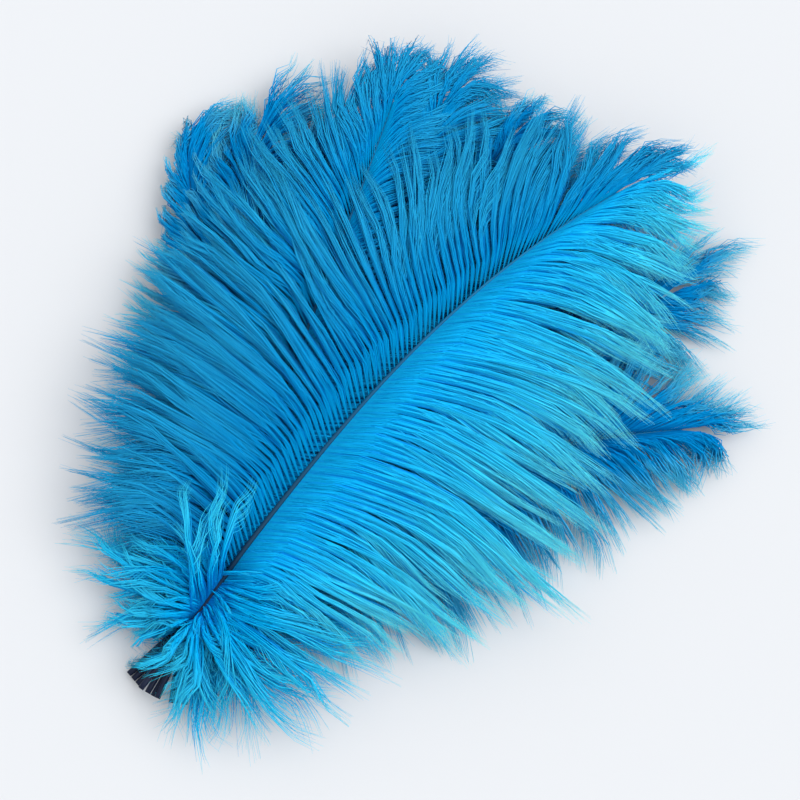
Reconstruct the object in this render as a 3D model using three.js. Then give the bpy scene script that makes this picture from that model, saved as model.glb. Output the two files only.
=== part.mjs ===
// A tied bunch of ten ostrich plumes, fanned out on a flat surface.
// Millimetres, +Z up. The origin is on that surface, under the elastic band. The cut quills
// point back along -Y and the top plume runs forward along +Y. Angles are in degrees,
// clockwise from +Y as seen from above. Each plume is a bare quill that the band grips, a
// flexible shaft beyond the bending point, a vane of barbs on each side of the shaft, and down.
import * as THREE from 'three';

// quills and shafts
const quillDiameter = 3.2;
const bendDiameter = 2.8;
const tipDiameter = 1.1;
const tailLength = 40;
const quillSides = 8;
const shaftSides = 6;
const bendDistance = 50;
const bendGap = 0.4;

// the bundle at the band
const quillGap = 0.3;
const rowGap = 0.3;
const bandWidth = 3;
const bandThickness = 1.2;
const bandClearance = 0.3;
const bundleRadius = 8;

// vanes
const vaneThickness = 1.6;
const vaneGap = 0.4;
const vaneFootGap = 8;
const vaneStart = bendDistance + vaneFootGap;
const vaneEndGap = 1;
const vaneLines = 11;
const vaneSteps = 3;

// barbs: their angle from the shaft at the foot and the tip of a vane, how far each bends on its
// way out, and their length as a share of the vane's longest barb
const leftBarbs = { footAngle: 70, tipAngle: 40, footBend: 45, tipBend: -40 };
const rightBarbs = { footAngle: 66, tipAngle: 15, footBend: 30, tipBend: 35 };
const footShare = 0.62;
const tipShare = 0.36;
const widestAt = 0.4;

// down at the foot of each row
const downStart = 16;
const downEnd = 42;
const downLines = 4;
const downSteps = 3;

// the pile of plumes: height between neighbouring plumes, by distance from the band
const layerPitchNear = 3.3;
const layerPitchWide = 4.2;
const layerPitchFar = 3.3;
const nearDistance = vaneStart;
const wideDistance = 175;
const farDistance = 370;
const floorGap = 0.1;

// rows of quills in the bundle, lowest first, each with the down on its two outer sides: the
// directions of its front and rear edges, and its length
const rows = [
  { heading: 3, left: { front: -105, rear: -125, length: 76 }, right: { front: 106, rear: 130, length: 70 } },
  { heading: -38, left: { front: -127, rear: -131, length: 58 }, right: { front: 65, rear: 112, length: 72 } },
  { heading: -16, left: { front: -119, rear: -128, length: 68 }, right: { front: 76, rear: 114, length: 72 } },
  { heading: -22.7, left: { front: -122, rear: -132, length: 64 }, right: { front: 68, rear: 112, length: 72 } },
  { heading: -8.7, left: { front: -108, rear: -124, length: 74 }, right: { front: 86, rear: 130, length: 76 } },
];

// plumes, lowest first. slot counts quills sideways from the middle of the row; turn is how far
// the shaft curves from the band to its tip, and turnPower how late it does so
const plumes = [
  { row: 0, slot: -1, turn: -26, turnPower: 1, length: 310, left: 115, right: 115, down: 'left' },
  { row: 0, slot: 0, turn: 12, turnPower: 1, length: 315, left: 115, right: 92 },
  { row: 0, slot: 1, turn: 37, turnPower: 1, length: 290, left: 110, right: 62, down: 'right' },
  { row: 1, slot: -1, turn: -16, turnPower: 1, length: 256, left: 65, right: 105, down: 'left' },
  { row: 1, slot: 0, turn: -2, turnPower: 1, length: 262, left: 75, right: 110 },
  { row: 1, slot: 1, turn: 14, turnPower: 1, length: 264, left: 92, right: 110, down: 'right' },
  { row: 2, slot: 0.5, turn: 6, turnPower: 1, length: 321, left: 118, right: 112, down: 'right' },
  { row: 2, slot: -0.5, turn: -8, turnPower: 1, length: 317, left: 115, right: 112, down: 'left' },
  { row: 3, slot: 0, turn: -4.3, turnPower: 1, length: 305, left: 105, right: 112, down: 'both' },
  { row: 4, slot: 0, turn: 22.5, turnPower: 2, length: 330, left: 125, right: 135, down: 'both' },
];

// materials
const quillMaterial = new THREE.MeshStandardMaterial({ color: 0x0b1d3a, roughness: 0.4, metalness: 0 });
const shaftMaterial = new THREE.MeshStandardMaterial({ color: 0x0a6c93, roughness: 0.45, metalness: 0 });
const vaneMaterial = new THREE.MeshStandardMaterial({ color: 0x0892d0, roughness: 0.8, metalness: 0 });
const downMaterial = new THREE.MeshStandardMaterial({ color: 0x1fa6dc, roughness: 0.9, metalness: 0 });
const bandMaterial = new THREE.MeshStandardMaterial({ color: 0xb07a2a, roughness: 0.5, metalness: 0 });

const { degToRad, lerp, smoothstep } = THREE.MathUtils;

function direction(angle) {
  return new THREE.Vector3(Math.sin(degToRad(angle)), Math.cos(degToRad(angle)), 0);
}

function rightOf(angle) {
  return direction(angle + 90);
}

// height of the middle of a plume of the pile at a distance from the band
function rowHeight(row) {
  const lowest = bandThickness + bandClearance + quillDiameter / 2;
  return lowest + row * (quillDiameter + rowGap);
}

function layerPitch(distance) {
  const rise = smoothstep(distance, nearDistance, wideDistance);
  const fall = smoothstep(distance, wideDistance, farDistance);
  return lerp(lerp(layerPitchNear, layerPitchWide, rise), layerPitchFar, fall);
}

function pileHeight(index, distance) {
  const layer = floorGap + bendDiameter / 2 + index * layerPitch(distance);
  const spread = smoothstep(distance, bundleRadius, nearDistance);
  return lerp(rowHeight(plumes[index].row), layer, spread);
}

// a plume's stem: straight behind the band, then turning steadily towards its tip
function stemHeading(plume, along) {
  const share = Math.max(along, 0) / plume.length;
  return rows[plume.row].heading + plume.turn * share ** plume.turnPower;
}

function stemPoint(index, along) {
  const plume = plumes[index];
  const heading = rows[plume.row].heading;
  const point = rightOf(heading).multiplyScalar(plume.slot * (quillDiameter + quillGap));
  if (along <= 0) {
    point.addScaledVector(direction(heading), along);
    point.z = rowHeight(plume.row);
    return point;
  }
  const steps = Math.ceil(along / 2);
  for (let k = 0; k < steps; k++) {
    const middle = ((k + 0.5) * along) / steps;
    point.addScaledVector(direction(stemHeading(plume, middle)), along / steps);
  }
  point.z = pileHeight(index, Math.hypot(point.x, point.y));
  return point;
}

function stemRadius(plume, along) {
  if (along <= 0) return quillDiameter / 2;
  if (along <= bendDistance) return lerp(quillDiameter, bendDiameter, along / bendDistance) / 2;
  const share = (along - bendDistance) / (plume.length - bendDistance);
  return lerp(bendDiameter, tipDiameter, share) / 2;
}

function signedVolume(positions, faces) {
  const corner = (k) => new THREE.Vector3().fromArray(positions, 3 * k);
  let volume = 0;
  for (let k = 0; k < faces.length; k += 3) {
    const [a, b, c] = [corner(faces[k]), corner(faces[k + 1]), corner(faces[k + 2])];
    volume += a.dot(b.cross(c)) / 6;
  }
  return volume;
}

// closed geometry from corners and triangles, turned outwards if needed
function closedGeometry(corners, faces) {
  const positions = corners.flatMap((corner) => corner.toArray());
  const outward = signedVolume(positions, faces) > 0 ? faces : [...faces].reverse();
  const geometry = new THREE.BufferGeometry();
  geometry.setAttribute('position', new THREE.Float32BufferAttribute(positions, 3));
  geometry.setIndex(outward);
  geometry.computeVertexNormals();
  return geometry;
}

// round rod through the stem's stations, thinner or thicker at each, with flat ends
function stemGeometry(index, stations, sides) {
  const plume = plumes[index];
  const corners = [];
  const faces = [];
  stations.forEach((along) => {
    const middle = stemPoint(index, along);
    const ahead = stemPoint(index, along + 1).sub(stemPoint(index, along - 1)).normalize();
    const across = rightOf(stemHeading(plume, along));
    const upward = new THREE.Vector3().crossVectors(across, ahead).normalize();
    for (let k = 0; k < sides; k++) {
      const turn = (2 * Math.PI * (k + 0.5)) / sides;
      const corner = middle.clone();
      corner.addScaledVector(across, stemRadius(plume, along) * Math.cos(turn));
      corner.addScaledVector(upward, stemRadius(plume, along) * Math.sin(turn));
      corners.push(corner);
    }
  });
  const last = (stations.length - 1) * sides;
  for (let ring = 0; ring < last; ring += sides) {
    for (let k = 0; k < sides; k++) {
      const next = (k + 1) % sides;
      faces.push(ring + k, ring + next, ring + sides + next);
      faces.push(ring + k, ring + sides + next, ring + sides + k);
    }
  }
  for (let k = 1; k < sides - 1; k++) {
    faces.push(0, k + 1, k);
    faces.push(last, last + k, last + k + 1);
  }
  return closedGeometry(corners, faces);
}

function evenly(from, to, count) {
  return Array.from({ length: count + 1 }, (_, k) => lerp(from, to, k / count));
}

// thin closed pad over a grid of points, the same thickness everywhere
function padGeometry(grid, thickness) {
  const lines = grid.length;
  const points = grid[0].length;
  const corners = [];
  for (const side of [1, -1]) {
    for (const line of grid) {
      for (const point of line) corners.push(point.clone().setZ(point.z + (side * thickness) / 2));
    }
  }
  const under = lines * points;
  const at = (line, point) => line * points + point;
  const faces = [];
  const addQuad = (a, b, c, d) => faces.push(a, b, c, a, c, d);
  for (let i = 0; i < lines - 1; i++) {
    for (let j = 0; j < points - 1; j++) {
      const [a, b, c, d] = [at(i, j), at(i + 1, j), at(i + 1, j + 1), at(i, j + 1)];
      addQuad(a, b, c, d);
      addQuad(under + d, under + c, under + b, under + a);
    }
    const [inner, outer] = [at(i, 0), at(i, points - 1)];
    addQuad(inner, under + inner, under + inner + points, inner + points);
    addQuad(outer, outer + points, under + outer + points, under + outer);
  }
  for (let j = 0; j < points - 1; j++) {
    const [foot, tip] = [at(0, j), at(lines - 1, j)];
    addQuad(foot, foot + 1, under + foot + 1, under + foot);
    addQuad(tip, under + tip, under + tip + 1, tip + 1);
  }
  return closedGeometry(corners, faces);
}

// barbs of a vane: length and direction from the foot of the vane (0) to its tip (1)
function barbShare(up) {
  if (up < widestAt) return lerp(footShare, 1, Math.sin((up / widestAt) * (Math.PI / 2)));
  return lerp(1, tipShare, ((up - widestAt) / (1 - widestAt)) ** 2.2);
}

function barbAngle(barbs, up, out) {
  const root = lerp(barbs.footAngle, barbs.tipAngle, up ** 1.4);
  return root + lerp(barbs.footBend, barbs.tipBend, up) * out;
}

function layOnPile(index, point, drop) {
  point.z = pileHeight(index, Math.hypot(point.x, point.y)) - drop;
  return point;
}

function vaneGeometry(index, side) {
  const plume = plumes[index];
  const longest = side < 0 ? plume.left : plume.right;
  const barbs = side < 0 ? leftBarbs : rightBarbs;
  const drop = index === 0 ? floorGap + (bendDiameter - vaneThickness) / 2 : 0;
  const grid = evenly(0, 1, vaneLines).map((up) => {
    const along = lerp(vaneStart, plume.length - vaneEndGap, up);
    const heading = stemHeading(plume, along);
    const root = stemPoint(index, along);
    root.addScaledVector(rightOf(heading), side * (stemRadius(plume, along) + vaneGap));
    const line = [layOnPile(index, root.clone(), drop)];
    const step = (longest * barbShare(up)) / vaneSteps;
    for (let k = 0; k < vaneSteps; k++) {
      const angle = heading + side * barbAngle(barbs, up, (k + 0.5) / vaneSteps);
      root.addScaledVector(direction(angle), step);
      line.push(layOnPile(index, root.clone(), drop));
    }
    return line;
  });
  return padGeometry(grid, vaneThickness);
}

function downGeometry(index, side) {
  const plume = plumes[index];
  const tuft = side < 0 ? rows[plume.row].left : rows[plume.row].right;
  const grid = evenly(0, 1, downLines).map((up) => {
    const along = lerp(downStart, downEnd, up);
    const heading = stemHeading(plume, along);
    const root = stemPoint(index, along);
    root.addScaledVector(rightOf(heading), side * (stemRadius(plume, along) + vaneGap));
    const outward = direction(lerp(tuft.rear, tuft.front, up));
    return evenly(0, tuft.length, downSteps).map((distance) =>
      layOnPile(index, root.clone().addScaledVector(outward, distance), 0));
  });
  return padGeometry(grid, vaneThickness);
}

// the band's inside: the tightest outline round every quill, over the band's width
function crossSection(index, side) {
  const plume = plumes[index];
  const heading = rows[plume.row].heading;
  const start = stemPoint(index, 0);
  const slant = Math.tan(degToRad(heading));
  const middle = start.x + slant * ((side * bandWidth) / 2 - start.y);
  const half = quillDiameter / 2;
  return evenly(0, 2 * Math.PI, 2 * quillSides).map((turn) =>
    new THREE.Vector2(
      middle + (half / Math.cos(degToRad(heading))) * Math.cos(turn),
      start.z + half * Math.sin(turn)));
}

function convexOutline(points) {
  const sorted = [...points].sort((a, b) => a.x - b.x || a.y - b.y);
  const halfOutline = (list) => {
    const chain = [];
    for (const point of list) {
      while (chain.length > 1) {
        const [before, last] = chain.slice(-2);
        const bend = last.clone().sub(before).cross(point.clone().sub(last));
        if (bend > 0.01) break;
        chain.pop();
      }
      chain.push(point);
    }
    return chain.slice(0, -1);
  };
  return [...halfOutline(sorted), ...halfOutline(sorted.reverse())];
}

// a convex outline moved outwards by a distance, each side staying parallel to itself
function grownOutline(outline, distance) {
  const count = outline.length;
  const normal = (a, b) => new THREE.Vector2(b.y - a.y, a.x - b.x).normalize();
  return outline.map((corner, k) => {
    const before = normal(outline[(k + count - 1) % count], corner);
    const after = normal(corner, outline[(k + 1) % count]);
    const reach = distance / (1 + before.dot(after));
    return corner.clone().addScaledVector(before.add(after), reach);
  });
}

function bandGeometry() {
  const sections = plumes.flatMap((_, index) => [...crossSection(index, -1), ...crossSection(index, 1)]);
  const bundle = convexOutline(sections);
  const shape = new THREE.Shape(grownOutline(bundle, bandClearance + bandThickness));
  shape.holes.push(new THREE.Path(grownOutline(bundle, bandClearance)));
  const geometry = new THREE.ExtrudeGeometry(shape, { depth: bandWidth, bevelEnabled: false });
  geometry.rotateX(Math.PI / 2);
  geometry.translate(0, bandWidth / 2, 0);
  return geometry;
}

const bunch = new THREE.Group();

function addPiece(name, geometry, material) {
  const mesh = new THREE.Mesh(geometry, material);
  mesh.name = name;
  bunch.add(mesh);
}

addPiece('elastic_band', bandGeometry(), bandMaterial);
plumes.forEach((plume, index) => {
  const name = `plume_${String(index + 1).padStart(2, '0')}`;
  const quillStations = [-tailLength, 0, ...evenly(bundleRadius, bendDistance - bendGap / 2, 5)];
  const shaftStations = evenly(bendDistance + bendGap / 2, plume.length, 12);
  addPiece(`${name}_quill`, stemGeometry(index, quillStations, quillSides), quillMaterial);
  addPiece(`${name}_shaft`, stemGeometry(index, shaftStations, shaftSides), shaftMaterial);
  addPiece(`${name}_vane_left`, vaneGeometry(index, -1), vaneMaterial);
  addPiece(`${name}_vane_right`, vaneGeometry(index, 1), vaneMaterial);
  for (const [side, word] of [[-1, 'left'], [1, 'right']]) {
    if (plume.down === word || plume.down === 'both') {
      addPiece(`${name}_down_${word}`, downGeometry(index, side), downMaterial);
    }
  }
});

export default bunch;
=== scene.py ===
# A tied bunch of ten dyed ostrich plumes, fanned out on a pale floor.
import math

import bmesh
import bpy
import numpy as np
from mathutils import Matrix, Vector


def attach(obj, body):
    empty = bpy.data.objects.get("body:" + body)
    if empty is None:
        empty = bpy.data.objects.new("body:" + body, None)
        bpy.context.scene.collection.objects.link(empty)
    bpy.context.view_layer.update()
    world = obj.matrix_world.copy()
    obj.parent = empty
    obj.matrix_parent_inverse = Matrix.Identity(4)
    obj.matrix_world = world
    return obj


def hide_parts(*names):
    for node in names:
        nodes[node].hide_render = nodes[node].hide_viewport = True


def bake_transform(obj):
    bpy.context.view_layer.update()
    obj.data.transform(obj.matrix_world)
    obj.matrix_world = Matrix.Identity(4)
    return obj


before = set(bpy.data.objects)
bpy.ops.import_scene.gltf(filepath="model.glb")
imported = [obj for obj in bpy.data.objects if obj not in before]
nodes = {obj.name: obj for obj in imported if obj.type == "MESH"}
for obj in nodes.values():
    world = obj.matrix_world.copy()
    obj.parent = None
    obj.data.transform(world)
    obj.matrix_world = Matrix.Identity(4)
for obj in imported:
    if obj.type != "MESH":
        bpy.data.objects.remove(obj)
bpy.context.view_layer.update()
rootBody = "tie"
strandShare = 1.0

plumeCount = sum(name.endswith("_shaft") for name in nodes)
plumeNames = [f"plume_{k + 1:02d}" for k in range(plumeCount)]
topPlume = plumeNames[-1]


def plug(tree, socket, value):
    if isinstance(value, bpy.types.NodeSocket):
        tree.links.new(value, socket)
    else:
        socket.default_value = value


def addMath(tree, operation, *values):
    node = tree.nodes.new("ShaderNodeMath")
    node.operation = operation
    for socket, value in zip(node.inputs, values):
        plug(tree, socket, value)
    return node.outputs[0]


def addVector(tree, operation, *values):
    node = tree.nodes.new("ShaderNodeVectorMath")
    node.operation = operation
    sockets = [node.inputs[0], node.inputs[3]] if operation == "SCALE" else node.inputs
    for socket, value in zip(sockets, values):
        plug(tree, socket, value)
    return node.outputs["Value" if operation in ("DOT_PRODUCT", "LENGTH") else "Vector"]


def addMix(tree, share, low, high):
    # low + (high - low) * share
    return addMath(tree, "MULTIPLY_ADD", share, addMath(tree, "SUBTRACT", high, low), low)


def addSmooth(tree, value, start, end, low=0.0, high=1.0):
    node = tree.nodes.new("ShaderNodeMapRange")
    node.interpolation_type = "SMOOTHSTEP"
    for socket, number in zip(node.inputs, (value, start, end, low, high)):
        plug(tree, socket, number)
    return node.outputs[0]


def addRandom(tree, identity, seed, offset, low=0.0, high=1.0):
    node = tree.nodes.new("FunctionNodeRandomValue")
    node.data_type = "FLOAT"
    plug(tree, node.inputs[2], low)
    plug(tree, node.inputs[3], high)
    plug(tree, node.inputs["ID"], identity)
    plug(tree, node.inputs["Seed"], addMath(tree, "ADD", seed, float(offset)))
    return node.outputs[1]


def addCombine(tree, x, y, z):
    node = tree.nodes.new("ShaderNodeCombineXYZ")
    for socket, value in zip(node.inputs, (x, y, z)):
        plug(tree, socket, value)
    return node.outputs[0]


def heightOf(tree, place):
    node = tree.nodes.new("ShaderNodeSeparateXYZ")
    plug(tree, node.inputs[0], place)
    return node.outputs[2]


def addNoise(tree, place):
    # a smooth random vector between about -0.5 and 0.5
    node = tree.nodes.new("ShaderNodeTexNoise")
    plug(tree, node.inputs["Vector"], place)
    node.inputs["Scale"].default_value = 1.0
    node.inputs["Detail"].default_value = 0.0
    return addVector(tree, "SUBTRACT", node.outputs["Color"], (0.5, 0.5, 0.5))


# how one vane or tuft is grown: everything here can be changed piece by piece
barbInputs = {
    "Count": 1000, "Segments": 6, "Tip Crowding": 1.0, "Start": 0.0, "End": 1.0, "Side": 1.0,
    "Length": 0.12, "Foot Share": 0.62, "Tip Share": 0.36, "Widest At": 0.4, "Length Spread": 0.3,
    "Root Angle Foot": 80.0, "Root Angle Tip": 20.0, "Bend Foot": 20.0, "Bend Tip": 40.0,
    "Tip Gather": 20.0, "Foot Sweep": 0.0, "Curl": 14.0, "Tip Fluff": 1.5,
    "Root Sweep": 0.006, "Sweep Share": 0.07, "Stem Radius": 0.001,
    "Root Lift": 0.001, "Crown": 0.003, "Droop": 0.3, "Floor Height": 0.001,
    "Dome": 0.002, "Thickness": 0.0015, "Tie Share": 0.1, "Reach": 0.3,
    "Ribs": 160, "Rib Strength": 0.0, "Small Clumps": 60, "Large Clumps": 18,
    "Small Strength": 0.85, "Large Strength": 0.5, "Loose Share": 0.75, "Wave": 0.004, "Tuft Wave": 0.006,
    "Tuft Turns": 1.8, "Frizz": 0.001, "Frizz Turns": 4.0,
    "Strand Width": 0.0003, "Strand Depth": 0.00018, "Seed": 1,
}


def makeBarbTree():
    tree = bpy.data.node_groups.new("barbs", "GeometryNodeTree")
    face = tree.interface
    face.new_socket("Stem", in_out="INPUT", socket_type="NodeSocketGeometry")
    for name, value in barbInputs.items():
        kind = "NodeSocketInt" if isinstance(value, int) else "NodeSocketFloat"
        face.new_socket(name, in_out="INPUT", socket_type=kind).default_value = value
    face.new_socket("Material", in_out="INPUT", socket_type="NodeSocketMaterial")
    face.new_socket("Barbs", in_out="OUTPUT", socket_type="NodeSocketGeometry")
    given = tree.nodes.new("NodeGroupInput").outputs
    link = tree.links.new
    seed = given["Seed"]

    def calc(operation, *values):
        return addMath(tree, operation, *values)

    def pick(identity, offset, low=0.0, high=1.0):
        return addRandom(tree, identity, seed, offset, low, high)

    def ease(value, start, end, low=0.0, high=1.0):
        return addSmooth(tree, value, start, end, low, high)

    def moveBy(place, way, distance):
        return addVector(tree, "ADD", place, addVector(tree, "SCALE", way, distance))

    # one closed three-sided strand, copied onto Count points that each know their number
    points = tree.nodes.new("GeometryNodePoints")
    link(given["Count"], points.inputs["Count"])
    number = tree.nodes.new("GeometryNodeStoreNamedAttribute")
    number.data_type, number.domain = "FLOAT", "POINT"
    number.inputs["Name"].default_value = "strand"
    link(points.outputs[0], number.inputs["Geometry"])
    link(tree.nodes.new("GeometryNodeInputIndex").outputs[0], number.inputs["Value"])
    strandMesh = tree.nodes.new("GeometryNodeMeshCylinder")
    strandMesh.inputs["Vertices"].default_value = 3
    strandMesh.inputs["Radius"].default_value = 1.0
    strandMesh.inputs["Depth"].default_value = 1.0
    link(given["Segments"], strandMesh.inputs["Side Segments"])
    copies = tree.nodes.new("GeometryNodeInstanceOnPoints")
    link(number.outputs[0], copies.inputs["Points"])
    link(strandMesh.outputs["Mesh"], copies.inputs["Instance"])
    real = tree.nodes.new("GeometryNodeRealizeInstances")
    link(copies.outputs[0], real.inputs[0])

    place = tree.nodes.new("ShaderNodeSeparateXYZ")
    link(tree.nodes.new("GeometryNodeInputPosition").outputs[0], place.inputs[0])
    sideways, upward, lengthwise = place.outputs
    out = calc("ADD", lengthwise, 0.5)
    named = tree.nodes.new("GeometryNodeInputNamedAttribute")
    named.data_type = "FLOAT"
    named.inputs["Name"].default_value = "strand"
    strand = named.outputs["Attribute"]

    # where the strand grows, and the small and large tufts that it joins further out
    grown = calc("DIVIDE", calc("ADD", strand, pick(strand, 1)), given["Count"])
    grown = calc("POWER", grown, given["Tip Crowding"])

    def clumpOf(up, clumps, offset):
        cell = calc("FLOOR", calc("MULTIPLY", up, clumps))
        return cell, calc("DIVIDE", calc("ADD", cell, pick(cell, offset, 0.2, 0.8)), clumps)

    smallCell, smallMiddle = clumpOf(grown, given["Small Clumps"], 2)
    largeCell, largeMiddle = clumpOf(smallMiddle, given["Large Clumps"], 3)
    ribCell = calc("FLOOR", calc("MULTIPLY", grown, given["Ribs"]))
    ribMiddle = calc("DIVIDE", calc("ADD", ribCell, 0.5), given["Ribs"])
    ribPull = calc("MULTIPLY", ease(out, 0.08, 0.3, 1.0, 0.0), given["Rib Strength"])
    hold = ease(pick(strand, 4), 0.0, given["Loose Share"], 0.12, 1.0)
    hold = calc("MULTIPLY", hold, ease(grown, 0.75, 1.0, 1.0, 0.6))
    smallPull = calc("ADD", ease(out, 0.04, 0.5, 0.0, 0.38), ease(out, 0.55, 1.0, 0.0, 0.62))
    smallPull = calc("MULTIPLY", smallPull, calc("MULTIPLY", given["Small Strength"], hold))
    largePull = calc("MULTIPLY", ease(out, 0.3, 1.0), given["Large Strength"])
    largePull = calc("MULTIPLY", largePull, pick(smallCell, 5, 0.2, 1.0))
    up = addMix(tree, ribPull, grown, ribMiddle)
    up = addMix(tree, smallPull, up, smallMiddle)
    up = addMix(tree, largePull, up, largeMiddle)
    up = calc("MAXIMUM", calc("MINIMUM", up, 1.0), 0.0)

    # the strand's place across its tuft: 1 on the tuft's crest, 0 at its flanks
    across = calc("ABSOLUTE", calc("MULTIPLY", calc("SUBTRACT", grown, smallMiddle), given["Small Clumps"]))
    crest = ease(across, 0.0, 0.6, 1.0, 0.0)

    # length of the barb, from the vane's outline and each tuft's own share
    rise = calc("MINIMUM", calc("DIVIDE", up, given["Widest At"]), 1.0)
    rise = addMix(tree, calc("SINE", calc("MULTIPLY", rise, math.pi / 2)), given["Foot Share"], 1.0)
    past = calc("MAXIMUM", calc("SUBTRACT", up, given["Widest At"]), 0.0)
    past = calc("DIVIDE", past, calc("SUBTRACT", 1.0, given["Widest At"]))
    fall = addMix(tree, calc("POWER", past, 1.7), 1.0, given["Tip Share"])
    length = calc("MULTIPLY", calc("MULTIPLY", rise, fall), given["Length"])
    spread = given["Length Spread"]
    shorter = calc("MULTIPLY", calc("POWER", pick(smallCell, 7), 1.5), spread)
    length = calc("MULTIPLY", length, calc("SUBTRACT", 1.06, shorter))
    shorter = calc("MULTIPLY", pick(largeCell, 6), calc("MULTIPLY", spread, 0.5))
    length = calc("MULTIPLY", length, calc("SUBTRACT", 1.04, shorter))
    shorter = calc("MULTIPLY", calc("POWER", pick(strand, 8), 2.0), 0.4)
    shorter = calc("ADD", shorter, calc("MULTIPLY", calc("SUBTRACT", 1.0, crest), 0.1))
    length = calc("MULTIPLY", length, calc("SUBTRACT", 1.03, shorter))

    # direction: the angle from the stem grows steadily along the barb
    angle = addMix(tree, calc("POWER", up, 1.4), given["Root Angle Foot"], given["Root Angle Tip"])
    angle = calc("SUBTRACT", angle, calc("MULTIPLY", calc("POWER", up, 9.0), given["Tip Gather"]))
    footSweep = calc("MULTIPLY", calc("POWER", calc("SUBTRACT", 1.0, up), 7.0), given["Foot Sweep"])
    angle = calc("SUBTRACT", angle, footSweep)
    bend = addMix(tree, up, given["Bend Foot"], given["Bend Tip"])
    bend = calc("MULTIPLY_ADD", footSweep, 1.5, bend)
    swing = calc("ADD", pick(largeCell, 9, -0.5, 0.5), pick(smallCell, 10, -0.6, 0.6))
    swing = calc("ADD", swing, pick(strand, 11, -0.12, 0.12))
    swing = calc("MULTIPLY", swing, given["Curl"])
    fluff = calc("ADD", 1.0, calc("MULTIPLY", calc("POWER", up, 5.0), given["Tip Fluff"]))
    swing = calc("MULTIPLY", swing, fluff)
    start = calc("RADIANS", angle)
    turn = calc("RADIANS", calc("ADD", calc("ADD", bend, swing), 0.5))
    end = calc("ADD", start, calc("MULTIPLY", turn, out))
    ahead = calc("DIVIDE", calc("SUBTRACT", calc("SINE", end), calc("SINE", start)), turn)
    away = calc("DIVIDE", calc("SUBTRACT", calc("COSINE", start), calc("COSINE", end)), turn)

    # the stem where it grows
    stem = tree.nodes.new("GeometryNodeMeshToCurve")
    link(given["Stem"], stem.inputs[0])

    def alongStem(share):
        sample = tree.nodes.new("GeometryNodeSampleCurve")
        sample.mode = "FACTOR"
        link(stem.outputs[0], sample.inputs["Curves"])
        link(share, sample.inputs["Factor"])
        return sample.outputs["Position"], sample.outputs["Tangent"]

    root, tangent = alongStem(addMix(tree, up, given["Start"], given["End"]))
    forward = addVector(tree, "NORMALIZE", addVector(tree, "MULTIPLY", tangent, (1.0, 1.0, 0.0)))
    outward = addVector(tree, "CROSS_PRODUCT", forward, (0.0, 0.0, 1.0))
    outward = addVector(tree, "SCALE", outward, given["Side"])
    sweep = calc("EXPONENT", calc("DIVIDE", calc("MULTIPLY", out, -1.0), given["Sweep Share"]))
    sweep = calc("MULTIPLY", calc("SUBTRACT", 1.0, sweep), given["Root Sweep"])
    ahead = calc("ADD", calc("MULTIPLY", ahead, length), sweep)
    away = calc("ADD", calc("MULTIPLY", away, length), calc(
        "MULTIPLY", given["Stem Radius"], calc("MULTIPLY_ADD", up, -0.8, 1.0)))
    point = moveBy(moveBy(root, forward, ahead), outward, away)

    # slow waves shared by neighbours, a wander of each tuft, and a little frizz of each strand
    def addWander(key, turns, reach):
        noise = addNoise(tree, addCombine(tree, key, turns, calc("MULTIPLY", seed, 3.7)))
        flat = addVector(tree, "MULTIPLY", noise, (1.0, 1.0, 0.35))
        return addVector(tree, "SCALE", flat, reach)

    waves = addWander(calc("MULTIPLY", up, 9.0), calc("MULTIPLY", out, 2.2),
                      calc("MULTIPLY", given["Wave"], calc("MULTIPLY", out, 2.0)))
    tuftWaves = addWander(calc("MULTIPLY", smallCell, 5.3), calc("MULTIPLY", out, given["Tuft Turns"]),
                          calc("MULTIPLY", given["Tuft Wave"], ease(out, 0.1, 1.0, 0.0, 2.0)))
    frizz = addWander(calc("MULTIPLY", strand, 3.17), calc("MULTIPLY", out, given["Frizz Turns"]),
                      calc("MULTIPLY", calc("MULTIPLY", given["Frizz"], calc("POWER", fluff, 1.5)),
                           ease(out, 0.1, 0.8, 0.1, 2.0)))
    point = addVector(tree, "ADD", addVector(tree, "ADD", point, waves), addVector(
        tree, "ADD", tuftWaves, frizz))

    # height: the plume's own layer of the pile, which runs with the distance from the tie
    corner = tree.nodes.new("ShaderNodeSeparateXYZ")
    link(point, corner.inputs[0])
    wander = calc("SUBTRACT", corner.outputs[2], heightOf(tree, root))
    flat = addVector(tree, "MULTIPLY", point, (1.0, 1.0, 0.0))
    share = calc("DIVIDE", addVector(tree, "LENGTH", flat), given["Reach"])
    share = calc("MINIMUM", share, 1.0)
    layer, _ = alongStem(addMix(tree, share, given["Tie Share"], 1.0))
    height = calc("MULTIPLY", heightOf(tree, layer), calc("SUBTRACT", 1.0, calc(
        "MULTIPLY", calc("POWER", out, 2.0), given["Droop"])))
    height = calc("ADD", height, calc("MULTIPLY", ease(out, 0.0, 0.3), given["Crown"]))
    height = calc("ADD", height, calc("MULTIPLY", ease(out, 0.0, 0.12, 1.0, 0.0), given["Root Lift"]))
    depth = calc("ADD", calc("MULTIPLY", crest, given["Dome"]),
                 calc("MULTIPLY", pick(strand, 12, -0.5, 0.5), given["Thickness"]))
    depth = calc("ADD", depth, calc("MULTIPLY", pick(smallCell, 13, -0.5, 0.5), given["Dome"]))
    height = calc("ADD", height, calc("MULTIPLY", depth, ease(out, 0.02, 0.35)))
    height = calc("ADD", height, wander)

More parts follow.
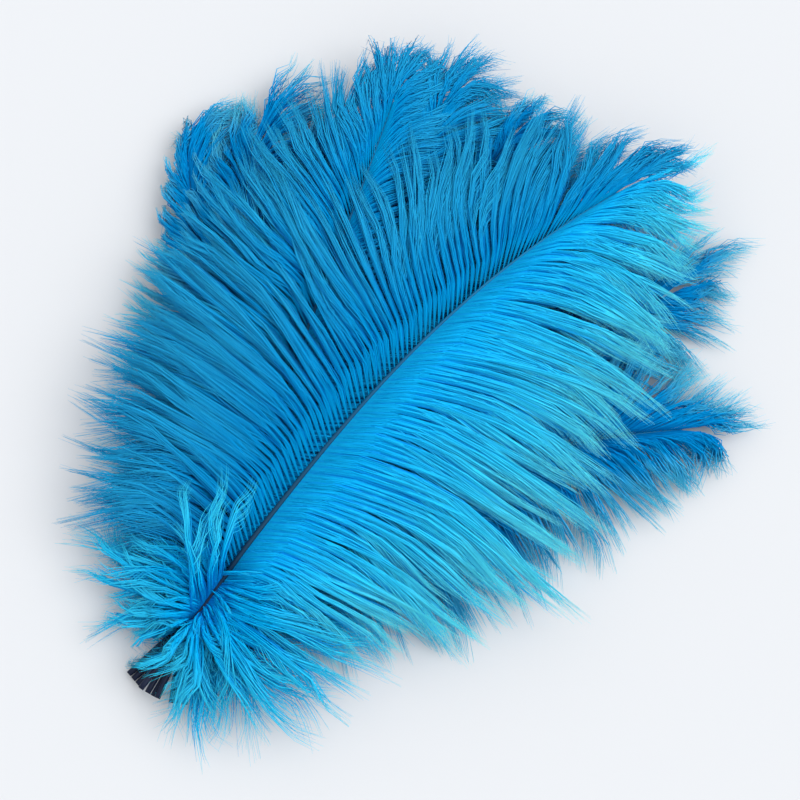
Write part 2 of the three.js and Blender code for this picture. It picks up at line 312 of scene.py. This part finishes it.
    # the strand's own round: wider than deep, narrow at the root and drawn out to a point
    body = calc("MULTIPLY", ease(out, 0.0, 0.25, 0.5, 1.0), ease(out, 0.6, 1.0, 1.0, 0.15))
    widthWay = addVector(tree, "SUBTRACT", addVector(tree, "SCALE", outward, calc("COSINE", end)),
                         addVector(tree, "SCALE", forward, calc("SINE", end)))
    wide = calc("MULTIPLY", calc("MULTIPLY", sideways, given["Strand Width"]), body)
    point = moveBy(point, widthWay, calc("MULTIPLY", wide, given["Side"]))
    deep = calc("MULTIPLY", calc("MULTIPLY", upward, given["Strand Depth"]), body)
    low = calc("ADD", given["Floor Height"], given["Strand Depth"])
    height = calc("ADD", calc("SMOOTH_MAX", height, low, 0.002), deep)
    final = tree.nodes.new("ShaderNodeSeparateXYZ")
    link(point, final.inputs[0])
    point = addCombine(tree, final.outputs[0], final.outputs[1], height)

    # look-up map: across is how high the strand lies in its tuft, upwards is root to tip
    # the feather materials paint shade from this map: strands low in their tuft darker, strands on its
    # crest lighter
    level = calc("ADD", calc("MULTIPLY", crest, 0.6), calc("MULTIPLY", pick(strand, 12), 0.38))
    level = calc("ADD", level, calc("DIVIDE", calc("MULTIPLY_ADD", sideways, 0.4, 0.5), given["Count"]))
    lookUp = tree.nodes.new("GeometryNodeStoreNamedAttribute")
    lookUp.data_type, lookUp.domain = "FLOAT2", "CORNER"
    lookUp.inputs["Name"].default_value = "OFBake"
    link(real.outputs[0], lookUp.inputs["Geometry"])
    plug(tree, lookUp.inputs["Value"], addCombine(
        tree, calc("ADD", level, 0.005), calc("MULTIPLY_ADD", out, 0.98, 0.01), 0.0))
    moved = tree.nodes.new("GeometryNodeSetPosition")
    link(lookUp.outputs[0], moved.inputs["Geometry"])
    link(point, moved.inputs["Position"])
    clean = tree.nodes.new("GeometryNodeRemoveAttribute")
    clean.inputs["Name"].default_value = "strand"
    link(moved.outputs[0], clean.inputs["Geometry"])
    smooth = tree.nodes.new("GeometryNodeSetShadeSmooth")
    link(clean.outputs[0], smooth.inputs["Geometry"])
    lastReal = tree.nodes.new("GeometryNodeRealizeInstances")
    link(smooth.outputs[0], lastReal.inputs[0])
    paint = tree.nodes.new("GeometryNodeSetMaterial")
    link(lastReal.outputs[0], paint.inputs["Geometry"])
    link(given["Material"], paint.inputs["Material"])
    result = tree.nodes.new("NodeGroupOutput")
    link(paint.outputs[0], result.inputs[0])
    return tree


barbTree = makeBarbTree()
socketIds = {item.name: item.identifier for item in barbTree.interface.items_tree
             if item.in_out == "INPUT"}


def growBarbs(name, line, material, settings):
    # line is the stem's middle line, in metres; the result is one plain closed-strand mesh
    mesh = bpy.data.meshes.new(name + "Line")
    mesh.from_pydata([tuple(p) for p in line], [(k, k + 1) for k in range(len(line) - 1)], [])
    grower = bpy.data.objects.new(name + "Line", mesh)
    bpy.context.scene.collection.objects.link(grower)
    modifier = grower.modifiers.new("barbs", "NODES")
    modifier.node_group = barbTree
    for key, value in settings.items():
        modifier[socketIds[key]] = value
    modifier[socketIds["Count"]] = max(8, int(settings["Count"] * strandShare))
    modifier[socketIds["Tie Share"]] = shareAt(line, 0.0)
    modifier[socketIds["Reach"]] = float(math.hypot(line[-1][0], line[-1][1]))
    modifier[socketIds["Material"]] = material
    bpy.context.view_layer.update()
    graph = bpy.context.evaluated_depsgraph_get()
    baked = bpy.data.meshes.new_from_object(grower.evaluated_get(graph), depsgraph=graph)
    grower.modifiers.remove(modifier)
    bpy.data.objects.remove(grower)
    baked.name = name
    piece = bpy.data.objects.new(name, baked)
    bpy.context.scene.collection.objects.link(piece)
    return piece


# how the stems are read: gap between rings, points along one stem, rounds of smoothing
stemReading = {"ringGap": 0.004, "points": 120, "smoothing": 6}


def stemRings(node):
    # middles and radii of a stem piece's rings, in order from the cut end towards the tip
    mesh = nodes[node].data
    corners = np.array([v.co for v in mesh.vertices])
    ahead = np.sign(corners[:, 1])
    corners = corners[np.argsort(ahead * np.hypot(corners[:, 0], corners[:, 1]))]
    reach = np.sign(corners[:, 1]) * np.hypot(corners[:, 0], corners[:, 1])
    groups = np.split(corners, np.where(np.diff(reach) > stemReading["ringGap"])[0] + 1)
    middles = np.array([(g.max(0) + g.min(0)) / 2 for g in groups])
    radii = np.array([np.linalg.norm(g - m, axis=1).max() for g, m in zip(groups, middles)])
    radii = np.minimum(radii, middles[:, 2])  # never below the floor
    return middles, radii


def smoothLine(points, values, count):
    # an even, smooth line through points, with the values carried along
    points, values = np.array(points), np.array(values)
    steps = np.r_[0, np.cumsum(np.linalg.norm(np.diff(points, axis=0), axis=1))]
    even = np.linspace(0, steps[-1], count)
    line = np.stack([np.interp(even, steps, points[:, k]) for k in range(3)], 1)
    for _ in range(stemReading["smoothing"]):
        line[1:-1] = (line[:-2] + 2 * line[1:-1] + line[2:]) / 4
    return line, np.interp(even, steps, values)


stems = {}
for plume in plumeNames:
    quillMiddles, quillRadii = stemRings(plume + "_quill")
    shaftMiddles, shaftRadii = stemRings(plume + "_shaft")
    stems[plume] = smoothLine(np.r_[quillMiddles, shaftMiddles], np.r_[quillRadii, shaftRadii],
                              stemReading["points"])
print("stems read")


def shareAt(line, distance):
    # curve factor at a distance from the tie, measured along the stem
    steps = np.r_[0, np.cumsum(np.linalg.norm(np.diff(line, axis=0), axis=1))]
    start = np.interp(0, line[:, 1], steps)
    return float((start + distance) / steps[-1])


def newMaterial(name):
    material = bpy.data.materials.new(name)
    material.use_nodes = True
    tree = material.node_tree
    shader = tree.nodes["Principled BSDF"]
    return material, tree, shader


def addRamp(tree, factor, stops):
    ramp = tree.nodes.new("ShaderNodeValToRGB")
    plug(tree, ramp.inputs[0], factor)
    elements = ramp.color_ramp.elements
    while len(elements) < len(stops):
        elements.new(0.5)
    for element, (position, color) in zip(elements, stops):
        element.position = position
        element.color = (*color, 1.0)
    return ramp.outputs[0]


def featherMaterial(name, look):
    # painted shade and light: the darker deep colour at a tuft's flanks stands for the shade between tufts,
    # and the lighter crest colour along its top for the light on it, each from root to tip and paler
    # towards the tips as painted light shining through them
    material, tree, shader = newMaterial(name)
    uv = tree.nodes.new("ShaderNodeUVMap")
    uv.uv_map = "OFBake"
    place = tree.nodes.new("ShaderNodeSeparateXYZ")
    tree.links.new(uv.outputs[0], place.inputs[0])
    level, out = place.outputs[0], place.outputs[1]
    crest = tree.nodes.new("ShaderNodeMix")
    crest.data_type = "RGBA"
    plug(tree, crest.inputs[0], addSmooth(tree, level, *look["crestFrom"]))
    plug(tree, crest.inputs[6], addRamp(tree, out, look["deep"]))
    plug(tree, crest.inputs[7], addRamp(tree, out, look["crest"]))
    streaks = tree.nodes.new("ShaderNodeTexNoise")
    plug(tree, streaks.inputs["Vector"], addCombine(
        tree, addMath(tree, "MULTIPLY", level, look["streaks"]), addMath(tree, "MULTIPLY", out, 2.2), 0.0))
    streaks.inputs["Scale"].default_value = 1.0
    streaks.inputs["Detail"].default_value = 2.0
    tone = addMath(tree, "MULTIPLY_ADD", streaks.outputs["Fac"], look["toneRange"] * 2,
                   1.0 - look["toneRange"])
    tree.links.new(addVector(tree, "SCALE", crest.outputs[2], tone), shader.inputs["Base Color"])
    roughness = addMath(tree, "MULTIPLY_ADD", streaks.outputs["Fac"], 0.2, look["roughness"] - 0.1)
    tree.links.new(roughness, shader.inputs["Roughness"])
    shader.inputs["Specular IOR Level"].default_value = look["specular"]
    return material


# the lit copy, used on the top plume's right vane: its crest colour runs to a pale, whitish cyan at the
# tips, a painted highlight on the crests facing the key light
vaneLook = {
    "deep": [(0.0, (0.0, 0.32, 0.8)), (0.3, (0.0, 0.32, 0.88)), (1.0, (0.0, 0.46, 0.98))],
    "crest": [(0.0, (0.0, 0.42, 0.84)), (0.25, (0.0, 0.5, 0.94)), (0.6, (0.03, 0.68, 1.0)),
              (0.85, (0.12, 0.85, 1.0)), (1.0, (0.24, 0.94, 1.0))],
    "crestFrom": (0.0, 0.8), "streaks": 90.0, "toneRange": 0.24, "roughness": 0.55, "specular": 0.1,
}
# painted shade: a darker copy of the lit vane colours with almost no specular, for every top vane but the
# top plume's right one; it stands for the shade on the pile's left side, which slopes away from the key
# light
paintedShadeLook = dict(vaneLook, specular=0.02,
                 deep=[(0.0, (0.0, 0.22, 0.6)), (0.3, (0.0, 0.15, 0.52)), (1.0, (0.01, 0.28, 0.64))],
                 crest=[(0.0, (0.0, 0.38, 0.78)), (0.25, (0.0, 0.3, 0.68)), (1.0, (0.03, 0.5, 0.82))])
# painted shade: a still darker copy for the lower plumes, for the shade they lie in under the plumes above
# and near the floor, lighter towards the tips
paintedShadeLowerLook = dict(paintedShadeLook,
                 deep=[(0.0, (0.0, 0.16, 0.52)), (0.5, (0.0, 0.16, 0.54)), (1.0, (0.02, 0.4, 0.7))],
                 crest=[(0.0, (0.0, 0.24, 0.64)), (0.5, (0.0, 0.32, 0.72)), (1.0, (0.14, 0.76, 0.94))])
# painted shade on the down as well: dark roots and tuft flanks for the shade between the tufts, light cyan
# tips for the light on them
downLook = dict(vaneLook, specular=0.04,
                deep=[(0.0, (0.0, 0.14, 0.56)), (0.4, (0.0, 0.24, 0.74)), (1.0, (0.0, 0.42, 0.86))],
                crest=[(0.0, (0.0, 0.26, 0.76)), (0.35, (0.0, 0.5, 0.92)), (1.0, (0.06, 0.78, 0.98))])
paintedShadeMaterial = featherMaterial("dyedPaintedShadeVane", paintedShadeLook)
vaneMaterial = featherMaterial("dyedPaintedLightVane", vaneLook)
paintedShadeLowerMaterial = featherMaterial("dyedPaintedShadeLowerVane", paintedShadeLowerLook)
downMaterial = featherMaterial("dyedDown", downLook)


def hornMaterial(name, look):
    # dyed quill: colour runs with the distance from the tie, with fine streaks along it
    material, tree, shader = newMaterial(name)
    coordinates = tree.nodes.new("ShaderNodeTexCoord")
    place = tree.nodes.new("ShaderNodeSeparateXYZ")
    tree.links.new(coordinates.outputs["Object"], place.inputs[0])
    reach = addMath(tree, "MULTIPLY_ADD", place.outputs[1], 1 / look["span"], look["tieShare"])
    streaks = tree.nodes.new("ShaderNodeTexNoise")
    stretched = tree.nodes.new("ShaderNodeMapping")
    stretched.inputs["Scale"].default_value = look["streaks"]
    tree.links.new(coordinates.outputs["Object"], stretched.inputs[0])
    tree.links.new(stretched.outputs[0], streaks.inputs["Vector"])
    streaks.inputs["Scale"].default_value = 1.0
    tone = addMath(tree, "MULTIPLY_ADD", streaks.outputs["Fac"], 0.6, 0.7)
    tree.links.new(addVector(tree, "SCALE", addRamp(tree, reach, look["colors"]), tone),
                   shader.inputs["Base Color"])
    bump = tree.nodes.new("ShaderNodeBump")
    bump.inputs["Strength"].default_value = 0.15
    bump.inputs["Distance"].default_value = 0.0002
    tree.links.new(streaks.outputs["Fac"], bump.inputs["Height"])
    tree.links.new(bump.outputs[0], shader.inputs["Normal"])
    shader.inputs["Roughness"].default_value = look["roughness"]
    shader.inputs["Specular IOR Level"].default_value = 0.25
    return material


# span is the length in metres that the colours run over, tieShare the place of the tie in it
hornLook = {
    "colors": [(0.0, (0.003, 0.008, 0.03)), (0.12, (0.003, 0.016, 0.05)), (0.25, (0.001, 0.04, 0.09)),
               (0.6, (0.0, 0.11, 0.25)), (1.0, (0.0, 0.24, 0.48))],
    "span": 0.4, "tieShare": 0.1, "streaks": (900.0, 60.0, 900.0), "roughness": 0.5,
}
hornColor = hornMaterial("dyedHorn", hornLook)


def bandMaterial(look):
    material, tree, shader = newMaterial("amberRubber")
    coordinates = tree.nodes.new("ShaderNodeTexCoord")
    grain = tree.nodes.new("ShaderNodeTexNoise")
    tree.links.new(coordinates.outputs["Object"], grain.inputs["Vector"])
    grain.inputs["Scale"].default_value = 900.0
    grain.inputs["Detail"].default_value = 3.0
    tree.links.new(addRamp(tree, grain.outputs["Fac"], look["colors"]), shader.inputs["Base Color"])
    bump = tree.nodes.new("ShaderNodeBump")
    bump.inputs["Strength"].default_value = 0.2
    bump.inputs["Distance"].default_value = 0.0001
    tree.links.new(grain.outputs["Fac"], bump.inputs["Height"])
    tree.links.new(bump.outputs[0], shader.inputs["Normal"])
    shader.inputs["Roughness"].default_value = look["roughness"]
    return material


bandLook = {"colors": [(0.3, (0.36, 0.17, 0.04)), (0.7, (0.56, 0.32, 0.09))], "roughness": 0.42}
bandColor = bandMaterial(bandLook)


def finishPiece(piece, body, slot, *replaced):
    if body:
        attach(piece, body)
    if replaced:
        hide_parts(*replaced)


def blendAtBend(piece):
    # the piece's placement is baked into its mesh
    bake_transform(piece)


# the groove starts at grooveFrom of the stem's length, and the tip runs out over tipLength radii
stemLook = {"sides": 14, "boreShare": 0.62, "boreDepth": 0.004, "grooveShare": 0.16,
            "grooveFrom": 0.3, "grooveRise": 4, "tipLength": 3}


def ringAround(middle, ahead, radius, sides, groove):
    across = Vector((ahead.y, -ahead.x, 0)).normalized()
    upward = across.cross(ahead).normalized()
    ring = []
    for k in range(sides):
        turn = 2 * math.pi * k / sides
        pull = 1 - groove * max(0.0, -math.sin(turn)) ** 4  # grooved along the underside
        ring.append(middle + radius * pull * (math.cos(turn) * across + math.sin(turn) * upward))
    return ring


def makeStem(plume):
    line, radii = stems[plume]
    radii = radii.tolist()
    sides = stemLook["sides"]
    graph = bmesh.new()
    middles = [Vector(p) for p in line]
    directions = [(b - a).normalized() for a, b in zip(middles, middles[1:])]
    directions.append(directions[-1])
    # bore first, then the rim, then the outside up to the tip
    inner = radii[0] * stemLook["boreShare"]
    rings = [(middles[0] + directions[0] * stemLook["boreDepth"], directions[0], inner, 0.0),
             (middles[0], directions[0], inner, 0.0)]
    for k, (middle, ahead, radius) in enumerate(zip(middles, directions, radii)):
        grown = max(0.0, (k / len(middles)) - stemLook["grooveFrom"])
        groove = min(1.0, grown * stemLook["grooveRise"]) * stemLook["grooveShare"]
        rings.append((middle, ahead, radius, groove))
    made = [[graph.verts.new(p) for p in ringAround(*ring[:3], sides, ring[3])] for ring in rings]
    for low, high in zip(made, made[1:]):
        for k in range(sides):
            after = (k + 1) % sides
            graph.faces.new((low[k], low[after], high[after], high[k]))
    graph.faces.new(made[0][::-1])
    point = graph.verts.new(middles[-1] + directions[-1] * radii[-1] * stemLook["tipLength"])
    for k in range(sides):
        graph.faces.new((made[-1][k], made[-1][(k + 1) % sides], point))
    bmesh.ops.recalc_face_normals(graph, faces=graph.faces)
    mesh = bpy.data.meshes.new(plume + "Stem")
    graph.to_mesh(mesh)
    graph.free()
    mesh.materials.append(hornColor)
    mesh.polygons.foreach_set("use_smooth", [True] * len(mesh.polygons))
    piece = bpy.data.objects.new(plume + "Stem", mesh)
    bpy.context.scene.collection.objects.link(piece)
    blendAtBend(piece)
    return piece


for plume in plumeNames:
    stem = makeStem(plume)
    finishPiece(stem, None, "shaft", plume + "_quill", plume + "_shaft")
print("stems made")


# each plume's longest barbs in metres, left and right, the share of that length left at its tip,
# and how many strands each of its two vanes has
vaneSizes = {
    "plume_01": (0.100, 0.105, 0.48, 1700), "plume_02": (0.124, 0.098, 0.42, 1700),
    "plume_03": (0.105, 0.090, 0.42, 1600), "plume_04": (0.045, 0.105, 0.46, 1600),
    "plume_05": (0.067, 0.110, 0.60, 1600), "plume_06": (0.079, 0.114, 0.44, 1700),
    "plume_07": (0.099, 0.112, 0.28, 2000), "plume_08": (0.104, 0.116, 0.34, 2200),
    "plume_09": (0.108, 0.114, 0.36, 3000), "plume_10": (0.130, 0.147, 0.38, 4800),
}
vaneBase = {
    "Segments": 6, "Tip Crowding": 0.7, "Foot Share": 0.68, "Widest At": 0.32, "Length Spread": 0.24,
    "Curl": 15.0, "Tip Fluff": 2.4, "Root Sweep": 0.006, "Sweep Share": 0.07, "Stem Radius": 0.0015,
    "Root Lift": 0.0008, "Crown": 0.002, "Floor Height": 0.0006, "Dome": 0.0018,
    "Thickness": 0.0016, "Ribs": 92, "Small Clumps": 92, "Large Clumps": 32,
    "Small Strength": 0.86, "Large Strength": 0.25, "Loose Share": 0.8, "Wave": 0.011, "Tuft Wave": 0.0048,
    "Tuft Turns": 2.2, "Frizz": 0.0011, "Frizz Turns": 4.0,
    "Strand Width": 0.00035, "Strand Depth": 0.0002,
}
vaneSides = {
    "left": {"Root Angle Foot": 82.0, "Root Angle Tip": 42.0, "Bend Foot": 45.0, "Bend Tip": -42.0,
             "Foot Sweep": 20.0, "Tip Gather": 30.0, "Rib Strength": 0.85, "Droop": 0.16},
    "right": {"Root Angle Foot": 78.0, "Root Angle Tip": 14.0, "Bend Foot": 18.0, "Bend Tip": 45.0,
              "Foot Share": 0.58, "Foot Sweep": 16.0, "Tip Gather": 4.0, "Rib Strength": 0.0,
              "Droop": 0.32},
}
# what single plumes do differently from the rest
vaneChanges = {
    "plume_01": {"Widest At": 0.66, "Root Angle Tip": 42.0, "Tip Gather": 14.0, "Bend Tip": 8.0,
                 "Large Strength": 0.08, "Small Strength": 0.7},
    topPlume: {"Tip Crowding": 1.0, "Strand Width": 0.00032},
}
# the plumes below the top ones hang lower and looser; start is how far from the tie vanes begin
vaneLayers = {"start": 0.026, "topOnes": 3, "lowerDroop": 0.3, "lowerLoose": 1.3, "firstSeed": 11}


def growVane(plume, side):
    line, _ = stems[plume]
    left, right, tipShare, count = vaneSizes[plume]
    index = plumeNames.index(plume)
    lower = index < plumeCount - vaneLayers["topOnes"]
    word = "left" if side < 0 else "right"
    start = shareAt(line, vaneLayers["start"])
    length = left if side < 0 else right
    seed = vaneLayers["firstSeed"] + 2 * index + (side > 0)
    settings = dict(vaneBase, Count=count, Side=float(side), Start=start, End=1.0, Length=length,
                    Seed=seed)
    settings.update(vaneSides[word])
    settings["Tip Share"] = tipShare
    if lower:
        settings["Droop"] += vaneLayers["lowerDroop"]
        settings["Loose Share"] = vaneLayers["lowerLoose"]
    settings.update(vaneChanges.get(plume, {}))
    # painted shade: the lower plumes take the darkest copy, the other top vanes the shaded copy, and only
    # the top plume's right vane the lit copy
    material = paintedShadeLowerMaterial if lower else paintedShadeMaterial
    if plume == topPlume and side > 0:
        material = vaneMaterial
    piece = growBarbs(f"{plume}Vane{word.capitalize()}", line, material, settings)
    blendAtBend(piece)
    finishPiece(piece, None, "vane", f"{plume}_vane_{word}")


for plume in plumeNames:
    for side in (-1, 1):
        growVane(plume, side)
print("vanes made")


downBase = {
    "Segments": 8, "Foot Share": 0.75, "Tip Share": 0.8, "Widest At": 0.55, "Length Spread": 0.7,
    "Bend Foot": 10.0, "Bend Tip": 10.0, "Tip Gather": 0.0, "Tip Fluff": 0.0, "Curl": 80.0,
    "Root Sweep": 0.003, "Sweep Share": 0.1, "Stem Radius": 0.0006, "Root Lift": 0.001, "Crown": 0.006,
    "Floor Height": 0.0006, "Dome": 0.003, "Thickness": 0.002, "Ribs": 20, "Rib Strength": 0.0,
    "Small Clumps": 22, "Large Clumps": 9, "Small Strength": 1.0, "Large Strength": 0.4, "Loose Share": 0.3,
    "Wave": 0.009, "Tuft Wave": 0.015, "Tuft Turns": 2.6, "Frizz": 0.0017, "Frizz Turns": 4.0,
    "Strand Width": 0.00034, "Strand Depth": 0.0002,
}
downReach = {"start": 0.0, "end": 0.03, "count": 380, "topCount": 720, "firstSeed": 71}
# each side's down: its rearmost and foremost direction, clockwise from the tie's forward line,
# its length in metres, and the share of it at the rear and the front
downFans = {"left": (-148.0, -74.0, 0.07, 0.52, 0.92), "right": (136.0, 58.0, 0.098, 0.58, 1.0)}


def headingOf(line, share):
    k = int(share * (len(line) - 2))
    ahead = line[k + 1] - line[k]
    return math.degrees(math.atan2(ahead[0], ahead[1]))


def growTufts(name, plume, side, rear, front, settings):
    line, _ = stems[plume]
    start = shareAt(line, settings.pop("from"))
    heading = headingOf(line, start)
    settings = dict(downBase, Side=float(side), Start=start, End=shareAt(line, settings.pop("to")),
                    **settings)
    settings["Root Angle Foot"] = side * (rear - heading)
    settings["Root Angle Tip"] = side * (front - heading)
    return growBarbs(name, line, downMaterial, settings)


def growDown(node):
    plume, _, word = node.rsplit("_", 2)
    rear, front, length, rearShare, frontShare = downFans[word]
    side = -1 if word == "left" else 1
    piece = growTufts(f"{plume}Down{word.capitalize()}", plume, side, rear, front, {
        "from": downReach["start"], "to": downReach["end"], "Length": length, "Droop": 0.75,
        "Foot Share": rearShare, "Tip Share": frontShare, "Widest At": 0.75,
        "Count": downReach["topCount"] if plume == topPlume else downReach["count"],
        "Seed": downReach["firstSeed"] + plumeNames.index(plume) * 2 + (word == "right")})
    finishPiece(piece, rootBody, "down", node)


for node in sorted(n for n in nodes if "_down_" in n):
    growDown(node)

# more tufts: back ones over the cut quills, long ones at both sides, wisps left of the top shaft
extraTufts = {
    "backTuftsRight": (topPlume, 1, 176.0, 140.0, {
        "from": -0.004, "to": 0.012, "Length": 0.054, "Count": 330, "Small Clumps": 9, "Seed": 101}),
    "backTuftsLeft": (plumeNames[3], -1, -172.0, -140.0, {
        "from": -0.004, "to": 0.012, "Length": 0.04, "Count": 160, "Small Clumps": 5, "Seed": 103}),
    "longTuftsRight": (topPlume, 1, 78.0, 58.0, {
        "from": 0.006, "to": 0.02, "Length": 0.1, "Length Spread": 0.2, "Curl": 36.0, "Count": 240,
        "Small Clumps": 8, "Seed": 109}),
    "longTuftsLeft": (plumeNames[5], -1, -112.0, -98.0, {
        "from": 0.004, "to": 0.016, "Length": 0.092, "Length Spread": 0.2, "Curl": 30.0, "Count": 130,
        "Small Clumps": 4, "Seed": 113}),
    "standingWisps": (topPlume, -1, -62.0, -38.0, {
        "from": 0.004, "to": 0.03, "Length": 0.074, "Count": 150, "Small Clumps": 6, "Large Clumps": 6,
        "Bend Foot": -14.0, "Bend Tip": -24.0, "Crown": 0.011, "Droop": 0.0, "Seed": 107,
        "Small Strength": 0.97, "Loose Share": 0.05, "Segments": 14, "Wave": 0.004,
        "Tuft Wave": 0.007, "Frizz": 0.0005, "Curl": 60.0}),
}
for name, (plume, side, rear, front, settings) in extraTufts.items():
    piece = growTufts(name, plume, side, rear, front, dict({"Droop": 0.6}, **settings))
    finishPiece(piece, rootBody, "down")
print("down made")


# pitch is the distance between two wraps in widths of a wrap
bandShape = {"wraps": 3, "wrapWidth": 0.0011, "wrapDepth": 0.0006, "pitch": 1.02, "slant": 0.0008,
             "slantTurn": 2.1, "steps": 72, "sides": 8, "floorGap": 1e-4}


def makeBand():
    corners = np.array([v.co for v in nodes["elastic_band"].data.vertices])
    flat = corners[:, [0, 2]]
    middle = (flat.max(0) + flat.min(0)) / 2
    turns = np.linspace(0, 2 * math.pi, bandShape["steps"], endpoint=False)
    ways = np.stack([np.cos(turns), np.sin(turns)], 1)
    # how far the band's outside reaches each way, as a closed outline
    support = (flat - middle) @ ways.T
    reach = support.max(0)
    outline = []
    for way, far in zip(ways, reach):
        limits = [otherFar / (way @ otherWay) for otherWay, otherFar in zip(ways, reach)
                  if way @ otherWay > 0.05]
        outline.append(middle + way * min(limits))
    outline = np.array(outline)
    graph = bmesh.new()
    count = len(outline)
    sides = bandShape["sides"]
    for wrap in range(bandShape["wraps"]):
        offset = (wrap - (bandShape["wraps"] - 1) / 2) * bandShape["wrapWidth"] * bandShape["pitch"]
        rings = []
        for k in range(count):
            x, z = outline[k]
            outward = (outline[k] - middle) / np.linalg.norm(outline[k] - middle)
            slant = bandShape["slant"] * math.sin(turns[k] + bandShape["slantTurn"] * wrap)
            ring = []
            for j in range(sides):
                turn = 2 * math.pi * (j + 0.5) / sides
                y = offset + slant + bandShape["wrapWidth"] / 2 * math.cos(turn)
                deep = bandShape["wrapDepth"] * (math.sin(turn) - 1)
                height = max(z + outward[1] * deep, bandShape["floorGap"])
                ring.append(graph.verts.new((x + outward[0] * deep, y, height)))
            rings.append(ring)
        for k in range(count):
            low, high = rings[k], rings[(k + 1) % count]
            for j in range(sides):
                after = (j + 1) % sides
                graph.faces.new((low[j], low[after], high[after], high[j]))
    bmesh.ops.recalc_face_normals(graph, faces=graph.faces)
    mesh = bpy.data.meshes.new("elasticBandWraps")
    graph.to_mesh(mesh)
    graph.free()
    mesh.polygons.foreach_set("use_smooth", [True] * len(mesh.polygons))
    mesh.materials.append(bandColor)
    piece = bpy.data.objects.new("elasticBandWraps", mesh)
    bpy.context.scene.collection.objects.link(piece)
    finishPiece(piece, rootBody, "band", "elastic_band")


makeBand()
print("band made")


# each sun: name, where it stands, energy and angle in degrees
stageLook = {
    "floor": (0.725, 0.735, 0.75), "floorHalf": 4.0, "world": (0.94, 0.965, 1.0), "worldStrength": 0.77,
    "suns": [("keyLight", (0.7, 0.8, 1.3), 1.55, 50.0), ("fillLight", (-0.8, 0.5, 1.6), 0.4, 80.0)],
}


def makeStage():
    mesh = bpy.data.meshes.new("floor")
    half = stageLook["floorHalf"]
    mesh.from_pydata([(-half, -half, 0), (half, -half, 0), (half, half, 0), (-half, half, 0)],
                     [], [(0, 1, 2, 3)])
    floor = bpy.data.objects.new("floor", mesh)
    bpy.context.scene.collection.objects.link(floor)
    material, _, shader = newMaterial("paleFloor")
    shader.inputs["Base Color"].default_value = (*stageLook["floor"], 1.0)
    shader.inputs["Roughness"].default_value = 0.9
    mesh.materials.append(material)
    world = bpy.data.worlds.new("softRoom")
    world.use_nodes = True
    background = world.node_tree.nodes["Background"]
    background.inputs[0].default_value = (*stageLook["world"], 1.0)
    background.inputs[1].default_value = stageLook["worldStrength"]
    bpy.context.scene.world = world
    for name, place, energy, angle in stageLook["suns"]:
        light = bpy.data.lights.new(name, "SUN")
        light.energy, light.angle = energy, math.radians(angle)
        lamp = bpy.data.objects.new(name, light)
        lamp.location = place
        lamp.rotation_euler = (-Vector(place)).to_track_quat("-Z", "Y").to_euler()
        bpy.context.scene.collection.objects.link(lamp)


cameraLook = {"azimuth": 45.7, "elevation": 80.0, "distance": 1.1, "lens": 90.0,
              "aim": (-0.0112, 0.1686, 0.0)}


def makeCamera():
    data = bpy.data.cameras.new("camera")
    data.lens = cameraLook["lens"]
    camera = bpy.data.objects.new("camera", data)
    around, above = math.radians(cameraLook["azimuth"]), math.radians(cameraLook["elevation"])
    back = Vector((math.sin(around) * math.cos(above), -math.cos(around) * math.cos(above),
                   math.sin(above)))
    camera.location = Vector(cameraLook["aim"]) + back * cameraLook["distance"]
    camera.rotation_euler = (-back).to_track_quat("-Z", "Y").to_euler()
    bpy.context.scene.collection.objects.link(camera)
    bpy.context.scene.camera = camera


makeStage()
makeCamera()
bpy.context.scene.view_settings.view_transform = "Standard"
print("stage ready")
